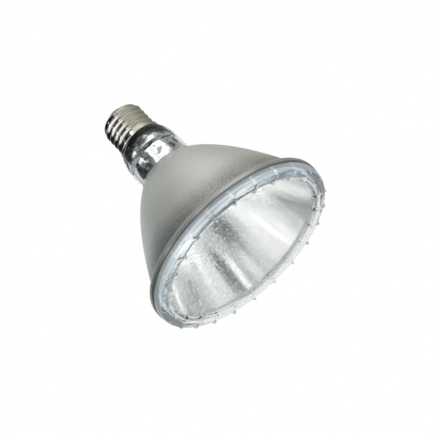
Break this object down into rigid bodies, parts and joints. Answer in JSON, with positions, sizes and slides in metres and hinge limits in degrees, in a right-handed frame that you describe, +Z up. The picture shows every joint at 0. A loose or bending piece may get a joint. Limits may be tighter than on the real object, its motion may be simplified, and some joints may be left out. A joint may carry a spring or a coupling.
{
  "type": "halogen basking bulb",
  "caption": "Pressed-glass halogen reflector bulb for basking heat: a frosted parabolic bowl on a clear neck with a screw cap, closed by a stippled lens with raised pips round its rim.",
  "frame": {"origin": "On the bulb's axis, in the plane of the lens pips, on which the bulb stands with its cap up", "axes": "+Z is up along the bulb's axis from the lens to the cap, and the two lead wires lie on the X axis"},
  "size_m": [0.1206, 0.1206, 0.1228],
  "materials": {
    "lens_glass": "clear, stippled face",
    "reflector_glass": "frosted bowl, clear neck, mirrored inside",
    "sealant": "matte",
    "nickel_shell": "bright nickel plate",
    "black_glass": "gloss",
    "contact_brass": "bright",
    "solder": "satin",
    "cement": "matte",
    "quartz": "clear",
    "tungsten": "satin",
    "foil_metal": "satin",
    "ferrule_metal": "satin",
    "wire_metal": "satin"
  },
  "bodies": {
    "root": {"lens": "lens_glass", "reflector": "reflector_glass", "rim_seal": "sealant", "screw_shell": "nickel_shell", "cap_insulator": "black_glass", "centre_contact": "contact_brass", "contact_solder": "solder", "basing_cement": "cement", "capsule_envelope": "quartz", "filament": "tungsten", "inner_lead_left": "tungsten", "inner_lead_right": "tungsten", "foil_left": "foil_metal", "foil_right": "foil_metal", "outer_lead_left": "foil_metal", "outer_lead_right": "foil_metal", "ferrule_left": "ferrule_metal", "ferrule_right": "ferrule_metal", "contact_wire": "wire_metal", "shell_wire": "wire_metal"}
  },
  "joints": []
}
